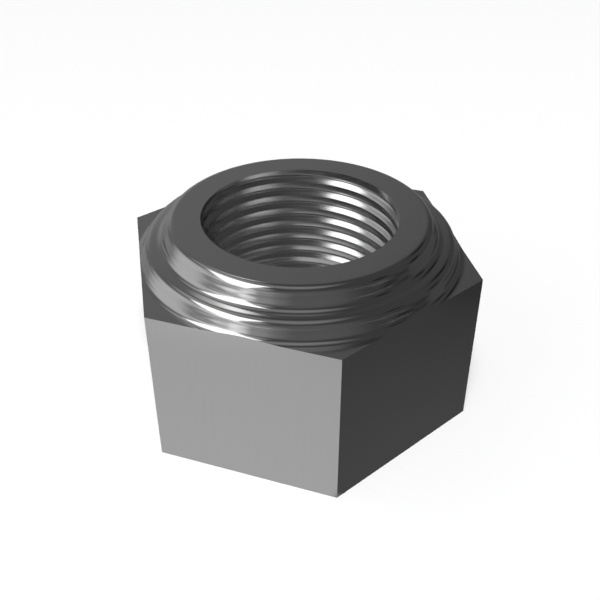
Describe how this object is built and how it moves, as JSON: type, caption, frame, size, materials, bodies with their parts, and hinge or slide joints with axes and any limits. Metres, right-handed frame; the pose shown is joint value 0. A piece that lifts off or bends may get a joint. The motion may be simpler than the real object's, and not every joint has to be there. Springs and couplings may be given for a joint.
{
  "type": "lock nut",
  "caption": "Plain steel hexagon lock nut with a stepped round collar above the flats and a threaded bore right through.",
  "frame": {"origin": "middle of the bearing face, on the bore's axis", "axes": "+Z along the bore from the bearing face to the collar; +X out of one wrench flat; +Y to a corner of the hexagon"},
  "size_m": [0.03, 0.0346, 0.0194],
  "materials": {
    "nut_steel": "plain steel: a finely turned, nearly mirror-bright collar and smooth drawn flats, with no plating and no wear"
  },
  "bodies": {
    "root": {"lock_nut": "nut_steel"}
  },
  "joints": []
}
